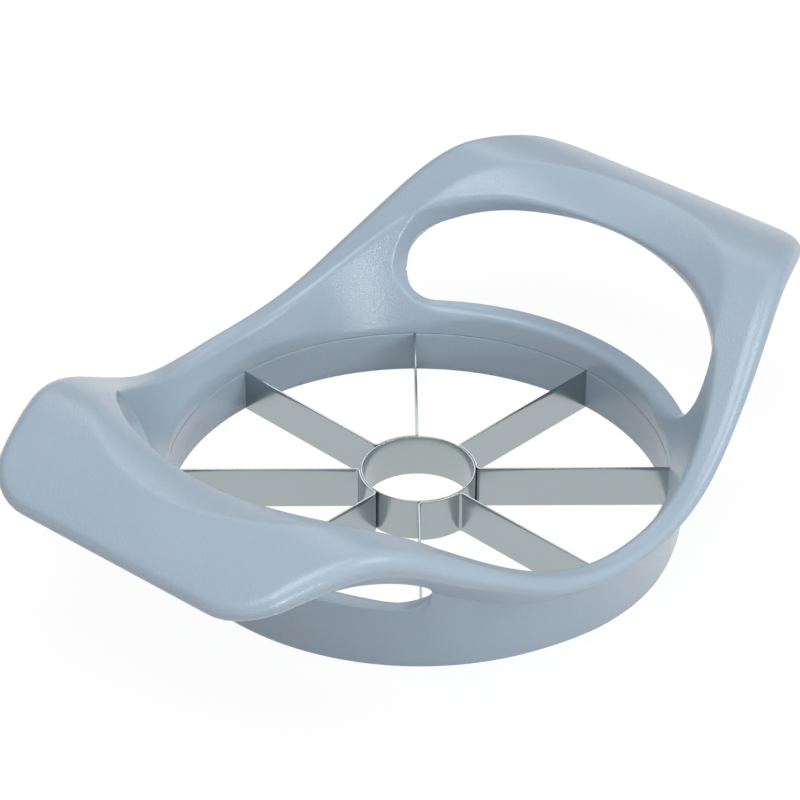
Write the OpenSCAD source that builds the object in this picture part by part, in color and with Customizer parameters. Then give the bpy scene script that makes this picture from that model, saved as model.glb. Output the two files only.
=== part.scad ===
// Apple slicer and corer: a moulded ring with two raised wing handles,
// four folded steel blades with two arms each, and a steel core ring.
// The origin is the ring's centre on the table. X runs along the handles.

/* [Cutting ring] */
// Inside diameter of the moulded ring
ring_id = 100; // [92:1:108]
// Width of the ring's bottom rim
foot_w = 2.6; // [2.2:0.1:3.2]
// Width that the outside draft adds up to the ring's top
draft_w = 1.9; // [1.2:0.1:2.4]
// Height of the ring under the finger openings
ring_h = 14.8; // [13.4:0.2:16]
// Radius of the ring's top edges
ring_edge_r = 1.4; // [0.8:0.1:1.8]

/* [Handles] */
// Reach of a handle's edge beyond the inside of the ring
handle_reach = 35.8; // [32:0.4:40]
// Width of a handle between the sharp corners of its outline
handle_w = 64.4; // [58:0.4:70]
// Radius that rounds those corners
corner_r = 14; // [9:0.5:17]
// Angle that the flanks behind the corners turn in
flank_angle = 25; // [20:1:30]
// Height of the handles' crown above the table
crown_h = 42; // [38:0.5:47]
// Distance of the crown beyond the inside of the ring
crown_out = 14; // [11:0.5:17]
// Drop from the crown to the handle's outer edge
edge_drop = 6.3; // [3:0.1:8]
// Thickness of the handle plate at its outer edge
plate_t = 4.2; // [3.4:0.2:5]
// Thickness of the handle plate at the finger opening
lip_t = 3.3; // [2.8:0.1:4]

/* [Finger openings] */
// Distance of a handle's inner edge beyond the inside of the ring
grip_out = 11.5; // [10:0.1:13]
// Angle from the handle's axis to each end of an opening
opening_angle = 43.5; // [38:0.5:46]
// Radius of the crescent dish around an opening
dish_r = 39.7; // [37:0.1:42]
// Width of the dish on the handle's axis
dish_w = 11.3; // [9:0.1:13]
// Depth of the dish on the handle's axis
dish_depth = 3.5; // [2:0.1:4.5]

/* [Side rims] */
// Width of a side rim beyond the inside of the ring
rim_w = 7.1; // [6.4:0.1:9]
// Height of a side rim above the table
rim_h = 16.4; // [15.6:0.2:18]
// Distance of a side rim's crest beyond the inside of the ring
crest_out = 2.7; // [2.2:0.1:3.4]

/* [Blades] */
// Height of the blades and of the core ring
blade_h = 9; // [7:0.2:10]
// Thickness of the blade steel
blade_t = 0.5; // [0.4:0.05:0.8]
// Outside diameter of the core ring
core_d = 23; // [18:0.5:30]
// Thickness of the core ring's steel
core_t = 0.5; // [0.4:0.05:0.8]
// Depth that each blade end is moulded into the ring
blade_anchor = 1.6; // [1:0.1:1.8]
// Angle of the blade star about the handles' axis
blade_turn = -4; // [-10:1:10]
// Inside radius of the folds between blade arms and arc
fold_r = 0.6; // [0.3:0.1:1]

/* [Hidden] */

// Plastic and steel as the object shows them
plastic_blue = "#aab8c3";
blade_steel = "#a9adab";
core_steel = "#b4b7b5";

blade_pairs = 4;
pair_step = 360 / blade_pairs;
arm_step = pair_step / 2;

// Arc of a blade pair: it lies on the core ring with a little play
arc_in = core_d / 2 + 0.02;
arc_steps = 6;
// Fold between an arm and the arc: its centre, and its angle on the arc
fold_y = blade_t / 2 + fold_r;
fold_out = arc_in + blade_t + fold_r;
fold_mid = [sqrt(fold_out * fold_out - fold_y * fold_y), fold_y];
fold_at = atan2(fold_mid.y, fold_mid.x);
fold_steps = 6;

ring_r = ring_id / 2;
skirt_r = ring_r + foot_w + draft_w;
handle_x = ring_r + handle_reach;
side_y = ring_r + rim_w;
crown_x = ring_r + crown_out;
edge_r = plate_t / 2;
// Round of the opening's edges, which leaves a narrow flat between them
lip_flat = 0.5;
lip_r = (lip_t - lip_flat) / 2;
// The mould parts at the blades' top edge, where the wall steps back a
// little. The lofted upper part of the moulding reaches into the turned
// lower part by a buried tongue, so that both are one piece of plastic.
part_z = blade_h;
part_step = 0.05;
tongue_h = 1.2;
tongue_edge = 0.5;
tongue_r = ring_r + blade_anchor + 0.25;
// Growth of the rim into a handle is eased in by these powers
rise_power = 1.35;
crest_power = 1.2;
// Flank curve: length of its two control arms
flank_arm = 24;
// Angle at which the handle's inner crest has reached its full distance
crest_full = 20;
// Finger opening: its two sides close up in a half round over this angle
// at each end, drawn in this many steps
end_angle = 8.5;
end_steps = 6;
// Where an opening's end stands: shares of the way from the ring wall to
// the crest on top, and from the skirt to the rim below
end_ring = 0.52;
end_grip = 0.6;
end_ring_low = 0.06;
end_grip_low = 0.16;
end_back = 0.4;
// Strips that the top surface is drawn in beyond the dish, and lines
// along the underside
top_steps = 5;
under_steps = 4;
// Crease where the inner slope meets the ring wall
crease_dip = 3.2;
crease_back = 1.6;
// Least width of the wall between the inner slope and the seam
web_t = 2.2;
// Depth of the underside's seam on the skirt, below the top surface
seam_side = 5;
seam_handle = 10.4;

// Section stations over one quarter, as angles from the handle's axis
handle_stations = [0, 4, 8, 12, 15, 17, 19, 21, 23, 25, 27.5, 30, 32.5];
flank_stations = [0.5, 2.5, 5, 8.5, 12.5, 17, 22, 28, 34, 40];
open_until = opening_angle - end_angle;
stations = concat(
    [for (angle = handle_stations) if (angle < open_until - 1) angle],
    [for (k = [0 : end_steps]) open_until + end_angle * sin(90 * k / end_steps)],
    [for (on = flank_stations) if (opening_angle + on < 88) opening_angle + on],
    [90]
);
end_index = search(opening_angle, stations)[0];
quarter = len(stations) - 1;

function ease(t) = let (c = min(max(t, 0), 1)) c * c * (3 - 2 * c);
function mix(a, b, t) = a * (1 - t) + b * t;
function polar(r, angle) = [r * cos(angle), r * sin(angle)];

// Height of the top surface: the same side profile along the whole width
function top_z(x) =
    let (
        rise = ease(pow(min(x, crown_x) / crown_x, rise_power)),
        beyond = max(x - crown_x, 0) / (handle_x - crown_x)
    )
    mix(rim_h, crown_h, rise) - edge_drop * beyond * beyond;

// Outline of one quarter: straight handle edge, corner arc, flank curve
flank_dir = [-cos(flank_angle), sin(flank_angle)];
corner_cut = corner_r * tan((90 - flank_angle) / 2);
corner = [handle_x, handle_w / 2];
arc_start = corner - [0, corner_cut];
arc_end = corner + flank_dir * corner_cut;
arc_mid = arc_start - [corner_r, 0];
arc_from = atan2(arc_start.y, arc_start.x);
arc_to = atan2(arc_end.y, arc_end.x);
flank = [arc_end, arc_end + flank_dir * flank_arm, [flank_arm, side_y], [0, side_y]];

function curve_at(p, t) =
    let (s = 1 - t)
    p[0] * s * s * s + p[1] * 3 * s * s * t + p[2] * 3 * s * t * t + p[3] * t * t * t;
function curve_way(p, t) =
    let (s = 1 - t)
    (p[1] - p[0]) * s * s + (p[2] - p[1]) * 2 * s * t + (p[3] - p[2]) * t * t;
function flank_t(angle, low = 0, high = 1, steps = 24) =
    let (mid = (low + high) / 2, p = curve_at(flank, mid))
    steps == 0 ? mid
    : atan2(p.y, p.x) < angle ? flank_t(angle, mid, high, steps - 1)
    : flank_t(angle, low, mid, steps - 1);
function arc_reach(angle) =
    let (u = polar(1, angle), along = arc_mid * u, off = cross(u, arc_mid))
    along + sqrt(corner_r * corner_r - off * off);

// Outline point and outward normal at an angle from the handle's axis
function outline(angle) =
    angle <= arc_from ? [[handle_x, handle_x * tan(angle)], [1, 0]]
    : angle < arc_to ?
        let (p = polar(arc_reach(angle), angle)) [p, (p - arc_mid) / corner_r]
    : angle >= 90 ? [[0, side_y], [0, 1]]
    : let (t = flank_t(angle), way = curve_way(flank, t))
        [curve_at(flank, t), [way.y, -way.x] / norm(way)];

// Crest: inner edge of the handle, which runs on as the ridge of the rim
function crest_r(angle) =
    ring_r + mix(crest_out, grip_out, ease(pow(max(90 - angle, 0) / (90 - crest_full), crest_power)));
// Dish edge: arc about a centre on the handle's axis
dish_edge_x = ring_r + grip_out + dish_w;
dish_mid_x = dish_edge_x - dish_r;
function dish_edge_r(angle) =
    let (off = dish_mid_x * sin(angle))
    dish_mid_x * cos(angle) + sqrt(dish_r * dish_r - off * off);
function dish_dip(angle) =
    dish_depth / dish_w * max(dish_edge_r(angle) - crest_r(angle), 0);
function crest_z(angle) = top_z(crest_r(angle) * cos(angle)) - dish_dip(angle);
// Top of the vertical ring wall
function crease_z(angle) =
    ring_h - ring_edge_r
    - crease_dip * ease((angle - 34) / 10)
    + crease_back * ease((angle - 50) / 18);
// Inner slope: straight from the ring wall up to the crest
function slope_z(r, angle) =
    mix(crease_z(angle), crest_z(angle), (r - ring_r) / (crest_r(angle) - ring_r));
function slope_r(z, angle) =
    let (low = crease_z(angle))
    mix(ring_r, crest_r(angle), (z - low) / (crest_z(angle) - low));
// Skirt: outside of the ring, with its draft
function skirt_at(z) = ring_r + foot_w + draft_w * z / ring_h;
function seam_z(angle) =
    let (x = skirt_r * cos(angle))
    top_z(x) - mix(seam_side, seam_handle, ease(x / (skirt_r * 0.75)));

// One section of the upper moulding, as a closed loop of 3-D points.
// Lines ring_line and grip_line border an opening on top, grip_under
// and ring_under border it below.
function section(angle) =
    let (
        edge = outline(angle),
        rim = edge[0] - edge[1] * edge_r,
        rim_top = top_z(rim.x),
        rim_r = norm(rim),
        cr = crest_r(angle),
        cz = crest_z(angle),
        // 0 along an opening, 1 from its end onwards: eased, and as a round
        along = min(max((angle - open_until) / end_angle, 0), 1),
        web = ease(along),
        closing = 1 - sqrt(1 - along * along),
        ring_side = mix(skirt_at(ring_h - ring_edge_r), mix(ring_r, cr, end_ring), closing),
        grip_side = mix(cr - lip_r, mix(ring_r, cr, end_grip), closing),
        crease = crease_z(angle),
        seam = seam_z(angle),
        wall_r = ring_r + part_step,
        under_z = rim_top - plate_t,
        low_skirt = skirt_at(part_z) - part_step,
        // Ring top: rounded inner edge, flat, rounded outer edge
        ring_top = concat(
            [for (a = [0 : 30 : 90])
                [wall_r + ring_edge_r * (1 - cos(a)), crease + ring_edge_r * sin(a)]],
            [for (a = [90 : -30 : 0])
                [ring_side - ring_edge_r * (1 - cos(a)), ring_h - ring_edge_r * (1 - sin(a))]]
        ),
        last_top = len(ring_top) - 1,
        slope = [for (i = [0 : last_top])
            let (r = mix(wall_r, ring_side, pow(i / last_top, 1.2)))
            [r, i == 0 ? crease : slope_z(r, angle)]],
        inner = [for (i = [0 : last_top]) mix(ring_top[i], slope[i], closing)],
        // Handle's inner edge: half round in an opening, slope beyond it
        lip = [for (i = [0 : 3])
            let (
                a = i * 30,
                round_r = cr - lip_r * cos(a),
                round_z = cz - lip_r * (1 - sin(a)),
                slope_r = mix(grip_side, cr, i / 3)
            )
            mix([round_r, round_z], [slope_r, slope_z(slope_r, angle)], closing)],
        // Top surface: dish, crease and crown
        fold_at = max((dish_edge_r(angle) - cr) / (rim_r - cr), 0.2),
        dish_w_here = max(dish_edge_r(angle) - cr, 0.01),
        crest_point = polar(cr, angle),
        top = [for (f = concat([fold_at / 2], [for (k = [0 : top_steps]) mix(fold_at, 1, k / top_steps)]))
            let (
                p = mix(crest_point, rim, f),
                inside = max(1 - (norm(p) - cr) / dish_w_here, 0)
            )
            [p.x, p.y, top_z(p.x) - dish_dip(angle) * inside]],
        rounding = [for (a = [60 : -30 : -90])
            let (p = rim + edge[1] * edge_r * cos(a))
            [p.x, p.y, rim_top - edge_r * (1 - sin(a))]],
        // Underside: along the plate to its inner edge in an opening, and
        // straight to the seam on the skirt beyond it
        seam_point = [max(skirt_at(seam), slope_r(seam, angle) + web_t), seam],
        skirt_top = mix(part_z + 0.6, seam, closing),
        rim_point = [rim_r, under_z],
        back = mix([cr - lip_r / 2, cz - lip_t + lip_r * (1 - cos(30))],
            mix(seam_point, rim_point, end_back), web),
        grip_low = mix([cr - lip_r, cz - lip_t + lip_r],
            mix(seam_point, rim_point, end_grip_low), closing),
        ring_low_z = ring_h - ring_edge_r - 1,
        ring_low = mix([skirt_at(ring_low_z), ring_low_z],
            mix(seam_point, rim_point, end_ring_low), closing),
        under = [for (k = [1 : under_steps])
            let (
                f = k / (under_steps + 1),
                p = mix(rim, polar(back[0], angle), f),
                plate_z = top_z(p.x) - mix(plate_t, lip_t + dish_dip(angle), f)
            )
            [p.x, p.y, mix(plate_z, mix(under_z, back[1], f), web)]],
        flat = function(p) [p[0] * cos(angle), p[0] * sin(angle), p[1]]
    )
    concat(
        [flat([wall_r, part_z])],
        [for (p = inner) flat(p)],
        [for (p = lip) flat(p)],
        top,
        rounding,
        under,
        [flat(back)],
        [flat(grip_low)],
        [flat(ring_low)],
        [flat([skirt_at(skirt_top), skirt_top])],
        [flat([low_skirt, part_z])],
        [flat([low_skirt - tongue_edge, part_z])],
        [flat([low_skirt - tongue_edge, part_z - tongue_h])],
        [flat([tongue_r, part_z - tongue_h])],
        [flat([tongue_r, part_z])]
    );

ring_line = 8;
grip_line = 9;
grip_under = 22 + top_steps + under_steps;
ring_under = grip_under + 1;

module frame() color(plastic_blue) {
    lower_ring();
    upper_moulding();
}

// Lower part of the ring: a turned wall with a slot for every blade end
module lower_ring() difference() {
    rotate_extrude($fn = 180) polygon([
        [ring_r, 0],
        [ring_r + foot_w, 0],
        [skirt_at(part_z), part_z],
        [ring_r, part_z]
    ]);
    for (arm = [0 : 2 * blade_pairs - 1])
        rotate(blade_turn + arm * arm_step)
            translate([ring_r - 1, -blade_t / 2, -1])
                cube([blade_anchor + 1, blade_t, blade_h + 2]);
}

// Upper part of the moulding: lofted through its sections, with the two
// openings
module upper_moulding() {
    first = [for (angle = stations) section(angle)];
    loops = concat(
        first,
        [for (i = [quarter - 1 : -1 : 0]) [for (p = first[i]) [-p.x, p.y, p.z]]],
        [for (i = [1 : quarter]) [for (p = first[i]) [-p.x, -p.y, p.z]]],
        [for (i = [quarter - 1 : -1 : 1]) [for (p = first[i]) [p.x, -p.y, p.z]]]
    );
    count = len(loops);
    lines = len(first[0]);
    function at(i, j) = (i % count) * lines + (j % lines);
    function from_axis(i) = let (k = i % (2 * quarter)) min(k, 2 * quarter - k);
    function is_open(i) = max(from_axis(i), from_axis(i + 1)) <= end_index;
    function patch(i, j, k, l) = [[at(i, j), at(l, j), at(i, k)], [at(i, k), at(l, j), at(l, k)]];
    skin = [for (i = [0 : count - 1], j = [0 : lines - 1])
        if (!(is_open(i) && (j == ring_line || j == grip_under)))
            each patch(i, j, j + 1, i + 1)];
    walls = [for (i = [0 : count - 1]) if (is_open(i))
        each concat(patch(i, ring_line, ring_under, i + 1), patch(i, grip_under, grip_line, i + 1))];
    ends = [for (i = [0 : count - 1]) if (from_axis(i) == end_index)
        let (
            loop = [at(i, ring_line), at(i, grip_line), at(i, grip_under), at(i, ring_under)],
            turned = is_open(i) ? loop : [loop[3], loop[2], loop[1], loop[0]]
        )
        each [[turned[0], turned[2], turned[1]], [turned[0], turned[3], turned[2]]]];
    polyhedron([for (loop = loops) each loop], concat(skin, walls, ends));
}

// Core ring: a rolled and welded strip
module core_ring() color(core_steel) difference() {
    cylinder(h = blade_h, d = core_d, $fn = 120);
    translate([0, 0, -1]) cylinder(h = blade_h + 2, d = core_d - 2 * core_t, $fn = 120);
}

// Blade pair: one strip, folded into two arms and an arc on the core ring
module blade_pair(index) color(blade_steel)
    rotate(blade_turn - arm_step + index * pair_step)
        linear_extrude(blade_h)
            polygon(concat(strip_face(0), reversed(strip_face(blade_t))));

// One face of the strip from above, at a distance out from the core ring:
// half of it as points, and the other half mirrored from them
function half_face(out) = concat(
    [[ring_r + blade_anchor, out - blade_t / 2]],
    [for (k = [0 : fold_steps])
        fold_mid + polar(fold_r + blade_t - out, mix(270, 180 + fold_at, k / fold_steps))],
    [for (k = [1 : arc_steps])
        polar(arc_in + out, mix(fold_at, arm_step / 2, k / (arc_steps + 0.5)))]
);
function mirrored(p) =
    [p.x * cos(arm_step) + p.y * sin(arm_step), p.x * sin(arm_step) - p.y * cos(arm_step)];
function reversed(list) = [for (i = [len(list) - 1 : -1 : 0]) list[i]];
function strip_face(out) =
    let (half = half_face(out))
    concat(half, [for (p = reversed(half)) mirrored(p)]);

frame();
core_ring();
blade_pair(1);  // blade_pair_1
blade_pair(2);  // blade_pair_2
blade_pair(3);  // blade_pair_3
blade_pair(4);  // blade_pair_4
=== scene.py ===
# Apple slicer: one plastic moulding with two raised wing handles, four folded
# steel strips as blades, and a rolled steel core ring. All sizes below are in
# millimetres, and X runs along the handles.
import math

import bmesh
import bpy
import numpy as np
from mathutils import Matrix, Vector


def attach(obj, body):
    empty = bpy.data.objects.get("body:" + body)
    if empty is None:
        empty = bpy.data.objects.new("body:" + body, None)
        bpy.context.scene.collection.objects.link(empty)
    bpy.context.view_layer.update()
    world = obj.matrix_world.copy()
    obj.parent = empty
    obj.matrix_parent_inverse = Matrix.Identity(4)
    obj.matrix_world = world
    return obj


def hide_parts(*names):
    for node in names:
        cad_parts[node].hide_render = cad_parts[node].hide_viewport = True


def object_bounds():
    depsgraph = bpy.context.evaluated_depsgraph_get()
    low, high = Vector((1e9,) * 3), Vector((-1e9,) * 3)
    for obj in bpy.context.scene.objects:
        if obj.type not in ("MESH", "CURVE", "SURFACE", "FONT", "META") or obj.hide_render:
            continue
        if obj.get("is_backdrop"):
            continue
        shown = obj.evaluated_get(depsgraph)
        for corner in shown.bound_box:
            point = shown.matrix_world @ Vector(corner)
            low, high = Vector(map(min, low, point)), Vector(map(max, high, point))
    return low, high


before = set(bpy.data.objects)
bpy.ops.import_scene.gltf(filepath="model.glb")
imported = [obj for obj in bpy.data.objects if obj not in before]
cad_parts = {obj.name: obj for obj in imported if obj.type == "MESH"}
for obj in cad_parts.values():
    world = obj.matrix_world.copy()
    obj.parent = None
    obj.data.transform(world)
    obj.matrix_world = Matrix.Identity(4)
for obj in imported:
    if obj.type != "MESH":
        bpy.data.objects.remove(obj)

cad_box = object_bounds()
scene = bpy.context.scene

# ---------------------------------------------------------------------------
# Camera: it stands where the photograph was taken from, about 0.7 m away, to
# one side of the near handle, and looks down by about a third of a right angle.
MM = 0.001
HANDLE_TURN = math.radians(48.875)     # handles' axis, as the camera sees it
CAMERA_SIDE = math.radians(-0.737)
CAMERA_HEIGHT = math.radians(33.629)
CAMERA_ROLL = math.radians(0.130)
CAMERA_SCALE = 1 / 0.96
CAMERA_AWAY = 667.411
FOCAL_PIXELS = 3461.099
IMAGE_PIXELS = 800
SENSOR_WIDTH = 36
AIM = (417.935, 505.226)               # pixel of the ring's centre on the table

back = Vector((math.sin(CAMERA_SIDE) * math.cos(CAMERA_HEIGHT),
               -math.cos(CAMERA_SIDE) * math.cos(CAMERA_HEIGHT),
               math.sin(CAMERA_HEIGHT)))
level = Vector((math.cos(CAMERA_SIDE), math.sin(CAMERA_SIDE), 0))
upward = back.cross(level)
right = level * math.cos(CAMERA_ROLL) + upward * math.sin(CAMERA_ROLL)
up = upward * math.cos(CAMERA_ROLL) - level * math.sin(CAMERA_ROLL)
half = IMAGE_PIXELS / 2
place = (back * CAMERA_AWAY
         - right * (AIM[0] - half) * CAMERA_AWAY / FOCAL_PIXELS
         + up * (AIM[1] - half) * CAMERA_AWAY / FOCAL_PIXELS)
turned = Matrix((right, up, back)).transposed().to_4x4()
turned.translation = place * CAMERA_SCALE * MM
camera_data = bpy.data.cameras.new("camera")
camera_data.sensor_width = SENSOR_WIDTH
camera_data.lens = FOCAL_PIXELS / IMAGE_PIXELS * SENSOR_WIDTH
camera_data.clip_start = 0.01
camera = bpy.data.objects.new("camera", camera_data)
camera.matrix_world = Matrix.Rotation(-HANDLE_TURN, 4, "Z") @ turned
scene.collection.objects.link(camera)
scene.camera = camera

# ---------------------------------------------------------------------------
# Frame: one injection-moulded piece of polypropylene with soft edges. Its wall,
# slopes, wings and rims are one closed skin, drawn section by section round the
# ring, and its finger openings end in rounds.
RING_R = 50.0                          # the ring, inside
RING_TOP = 14.8
FOOT_W = 2.6                           # width of the bottom rim
DRAFT = 1.9 / RING_TOP                 # of the skirt, over its height
HANDLE_X = 85.8
CORNER = (HANDLE_X, 32.2)              # sharp corner of the outline, before its round
CORNER_R = 14.0
FLANK_ANGLE = math.radians(25)
FLANK_ARM = 24.0
SIDE_Y = 57.1
RIM_H = 16.4                           # top of a side rim
CROWN_X = 64.0
CROWN_H = 42.0                         # top of a handle
RISE_POWER = 1.35
EDGE_DROP = 6.3                        # from the crown to the handle's edge
EDGE_R = 2.1
CREST_SIDE = 2.7                       # the slope's width at a side and at a handle
CREST_HANDLE = 11.5
CREST_FULL = 20                        # angle where the slope has its full width
CREST_POWER = 1.2
DISH_R = 39.7
DISH_X = 33.1                          # centre of the dish's edge
DISH_SLOPE = 3.5 / 11.3
DISH_SOFT = 0.8
PART_Z = 9.0                           # the mould's halves part here, in a fine groove
PART_STEP = 0.03
GROOVE_DEEP = 0.2
GROOVE_HALF = 0.16
SEAM_DROP_SIDE = 2.2                   # from the top surface to the skirt's upper edge
SEAM_DROP_HANDLE = 10.4
SEAM_REACH = 0.75                      # share of the skirt's radius where that drop is full
SEAM_POWER = 1.2
WEB_T = 2.4                            # least thickness between the slope and the outer face
OPEN_BEND = 30.0
OPEN_TIP_IN = 45.6                     # angles where an opening ends, inside and outside
OPEN_TIP_OUT = 42.7
TIP_SHARE = 0.6                        # height of those ends, as a share of the slope's length
TIP_OUT_SHARE = 0.07                   # and of the outer face's width
FACE_CUT = 0.46                        # share of the outer face above an opening
KNEE_Z = 12.0                          # under an opening, where the skirt starts to turn to its edge
LIP_H = 2.5                            # height of an opening's upper side on the handle's axis
LIP_GROWS = 2.6                        # and how much it grows towards the ends
ROUND_RING = 1.3                       # lengths that the edges' rounds take
ROUND_TOP = 2.0
ROUND_LIP = 2.2
ROUND_END = 0.6
ROUND_OUT = 0.5
ROUND_CREST = 1.3
ROUND_CREASE = 1.4
ROUND_SEAM = 0.3
FOOT_ROUND = 0.35
# An opening's edges close up towards its ends: first degree, and how full the end is.
CLOSE_LOW_IN = (35, 2.0)
CLOSE_HIGH_IN = (39, 1.8)
CLOSE_LOW_OUT = (36.2, 2.05)
CLOSE_HIGH_OUT = (33, 2.9)
CLOSE_UNDER = (33, 2.3)
# Sizes that change softly round the ring: by how much, first degree, degrees it takes.
WALL_SINKS = ((-3.6, 22, 16), (-1.0, 38, 12), (1.3, 54, 18))
SKIRT_SWELLS = ((0.6, 65, 22),)
SEAM_FLARES = ((1.3, 45, 20),)
EDGE_SWELLS = ((0.9, 19, 10), (-0.9, 44, 16), (-0.7, 62, 20))


def ease(t):
    t = min(max(t, 0.0), 1.0)
    return t * t * (3 - 2 * t)


def mix(a, b, t):
    return a * (1 - t) + b * t


def closing(degrees, tip, first, power):
    """How far an opening's edge has closed up: 0 at the first degree, 1 at the opening's tip."""
    x = min(max((degrees - first) / (tip - first), 0.0), 1.0)
    return 1 - (1 - x ** power) ** (1 / power)


def changes(angle, steps):
    """How much a size has changed at an angle round the ring."""
    degrees = math.degrees(angle)
    return sum(by * ease((degrees - first) / over) for by, first, over in steps)


def polar(r, angle):
    return np.array((r * math.cos(angle), r * math.sin(angle)))


def side_profile(x):
    """Height of the top surface at a distance along the handles' axis, as seen from the side."""
    rise = ease((min(x, CROWN_X) / CROWN_X) ** RISE_POWER)
    beyond = max(x - CROWN_X, 0) / (HANDLE_X - CROWN_X)
    return mix(RIM_H, CROWN_H, rise) - EDGE_DROP * beyond * beyond


def dish_edge(angle):
    """Radius of the outer edge of a handle's crescent dish."""
    off = DISH_X * math.sin(angle)
    return DISH_X * math.cos(angle) + math.sqrt(DISH_R ** 2 - off ** 2)


def dish_dip(p):
    """Depth of the dish at a point in plan, with a soft edge."""
    inside = dish_edge(math.atan2(p[1], p[0])) - math.hypot(*p)
    if inside <= -DISH_SOFT:
        return 0.0
    if inside >= DISH_SOFT:
        return DISH_SLOPE * inside
    return DISH_SLOPE * (inside + DISH_SOFT) ** 2 / (4 * DISH_SOFT)


def top_surface(p):
    return side_profile(p[0]) - dish_dip(p)


def crest_radius(angle):
    """Radius where the slope meets the top surface."""
    near = max(90 - math.degrees(angle), 0) / (90 - CREST_FULL)
    return RING_R + mix(CREST_SIDE, CREST_HANDLE, ease(near ** CREST_POWER))


def wall_top(angle):
    """Height where the inner wall turns into the slope."""
    return RING_TOP + changes(angle, WALL_SINKS)


def skirt_radius(z):
    return RING_R + FOOT_W + DRAFT * z


def flank_points():
    """The flank's four control points, and how far the corner's round cuts back its sides."""
    way = np.array((-math.cos(FLANK_ANGLE), math.sin(FLANK_ANGLE)))
    cut = CORNER_R * math.tan((math.pi / 2 - FLANK_ANGLE) / 2)
    start = np.array(CORNER) + way * cut
    points = [start, start + way * FLANK_ARM, np.array((FLANK_ARM, SIDE_Y)), np.array((0, SIDE_Y))]
    return points, cut


FLANK, CORNER_CUT = flank_points()
ARC_MID = np.array((CORNER[0] - CORNER_R, CORNER[1] - CORNER_CUT))


def outline(angle):
    """Outline point and outward normal in plan."""
    if angle <= math.atan2(ARC_MID[1], CORNER[0]):
        return np.array((HANDLE_X, HANDLE_X * math.tan(angle))), np.array((1.0, 0.0))
    if angle < math.atan2(FLANK[0][1], FLANK[0][0]):
        u = polar(1, angle)
        off = u[0] * ARC_MID[1] - u[1] * ARC_MID[0]
        p = u * (ARC_MID @ u + math.sqrt(CORNER_R ** 2 - off ** 2))
        return p, (p - ARC_MID) / CORNER_R
    low, high = 0.0, 1.0
    for _ in range(40):
        t = (low + high) / 2
        s = 1 - t
        p = FLANK[0] * s ** 3 + FLANK[1] * 3 * s * s * t + FLANK[2] * 3 * s * t * t + FLANK[3] * t ** 3
        if math.atan2(p[1], p[0]) < angle:
            low = t
        else:
            high = t
    way = ((FLANK[1] - FLANK[0]) * s * s + (FLANK[2] - FLANK[1]) * 2 * s * t
           + (FLANK[3] - FLANK[2]) * t * t)
    return p, np.array((way[1], -way[0])) / np.hypot(*way)


def bend(a, b, c, count):
    """A round through the corner b, from a to c."""
    u = np.linspace(0, 1, count)[:, None]
    return a * (1 - u) ** 2 + b * 2 * u * (1 - u) + c * u * u


def lift(rz, angle):
    """Points given as radius and height, set up at an angle round the ring."""
    rz = np.atleast_2d(rz)
    return np.column_stack((rz[:, 0] * math.cos(angle), rz[:, 0] * math.sin(angle), rz[:, 1]))


def slope_ends(angle):
    """The slope's lower and upper ends as radius and height, and its length."""
    low = np.array((RING_R + PART_STEP, wall_top(angle)))
    cr = crest_radius(angle)
    high = np.array((cr, top_surface(polar(cr, angle))))
    return low, high, np.linalg.norm(high - low)


def on_slope(angle, s):
    """Point at a length s along the wall and slope, from their corner."""
    low, high, length = slope_ends(angle)
    if s < 0:
        return low + np.array((0.0, s))
    return low + (high - low) * s / length


def softened(at, s, soft):
    """Point at a length s on the line that at() follows, whose corner at 0 is rounded off by a length."""
    if soft <= 0.01 or abs(s) >= soft:
        return at(s)
    u = (s + soft) / (2 * soft)
    return at(-soft) * (1 - u) ** 2 + at(0) * 2 * u * (1 - u) + at(soft) * u * u


def inner_rows(angle, end):
    """From the bottom rim up the inner wall and the slope to a length past their corner."""
    low, _, _ = slope_ends(angle)
    rows = [(RING_R + FOOT_ROUND, 0), (RING_R + 0.12, 0.07), (RING_R, 0.3)]
    rows += [(RING_R, z) for z in (2.2, 4.4, 6.6, 8.2)]
    upper_r = RING_R + PART_STEP
    groove_r = RING_R + GROOVE_DEEP
    rows += [(RING_R, PART_Z - GROOVE_HALF), (RING_R + 0.02, PART_Z - 0.13),
             (groove_r, PART_Z - 0.03), (groove_r, PART_Z + 0.03),
             (upper_r + 0.02, PART_Z + 0.13), (upper_r, PART_Z + GROOVE_HALF)]
    start = PART_Z + 0.3 - low[1]
    soft = min(max(0.8 * end, 0.0), ROUND_CREASE, -start * 0.95)
    b = min(soft, end - 0.3)
    a = min(-soft, b - 0.3)
    steps = [*np.linspace(start, a, 6)[:-1], *np.linspace(a, b, 7)[:-1], *np.linspace(b, end, 12)]
    rows += [softened(lambda x: on_slope(angle, x), s, soft) for s in steps]
    return lift(np.array(rows), angle)


def rim_round(angle):
    """The rim's round: centre, radius, plan normal, tilt where the top surface meets it, and that point."""
    edge, normal = outline(angle)
    radius = EDGE_R + changes(angle, EDGE_SWELLS)
    tilt = 0.0
    for _ in range(6):
        p = edge - normal * (radius - radius * math.sin(tilt))
        grade = (top_surface(p + normal * 0.05) - top_surface(p - normal * 0.05)) / 0.1
        tilt = -math.atan(grade)
    top = np.array((p[0], p[1], top_surface(p)))
    out = np.array((normal[0], normal[1], 0.0))
    centre = top - radius * (out * math.sin(tilt) + np.array((0, 0, math.cos(tilt))))
    return centre, radius, out, tilt, p


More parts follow.
